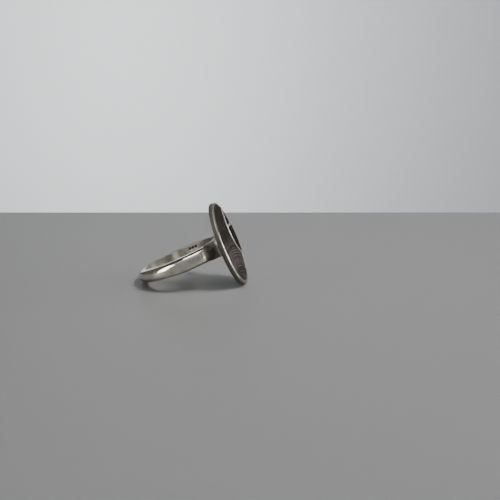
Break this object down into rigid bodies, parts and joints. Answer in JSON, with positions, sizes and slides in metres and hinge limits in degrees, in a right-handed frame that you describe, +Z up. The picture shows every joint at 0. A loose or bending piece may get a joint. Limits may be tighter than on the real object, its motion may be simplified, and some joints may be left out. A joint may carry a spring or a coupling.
{
  "type": "finger ring with a shell inlaid oval head",
  "caption": "Silver finger ring with a domed band and a large flat oval head, inlaid with dark shell and black pieces, lying on its side as on a table.",
  "frame": {"origin": "centre of the bounding box on the surface that the ring lies on", "axes": "+X from the back of the band to the head, +Z up, +Y to the side of the face that holds the black inlays"},
  "size_m": [0.0256, 0.0216, 0.0191],
  "materials": {
    "silver": "polished silver, lightly worn, with fine scratches and darker soldered corners",
    "shell": "polished dark shell with fine curved growth lines",
    "black_inlay": "glossy black"
  },
  "bodies": {
    "root": {"silver_ring": "silver", "shell_inlay": "shell", "black_inlay_upper": "black_inlay", "black_inlay_lower": "black_inlay"}
  },
  "joints": []
}
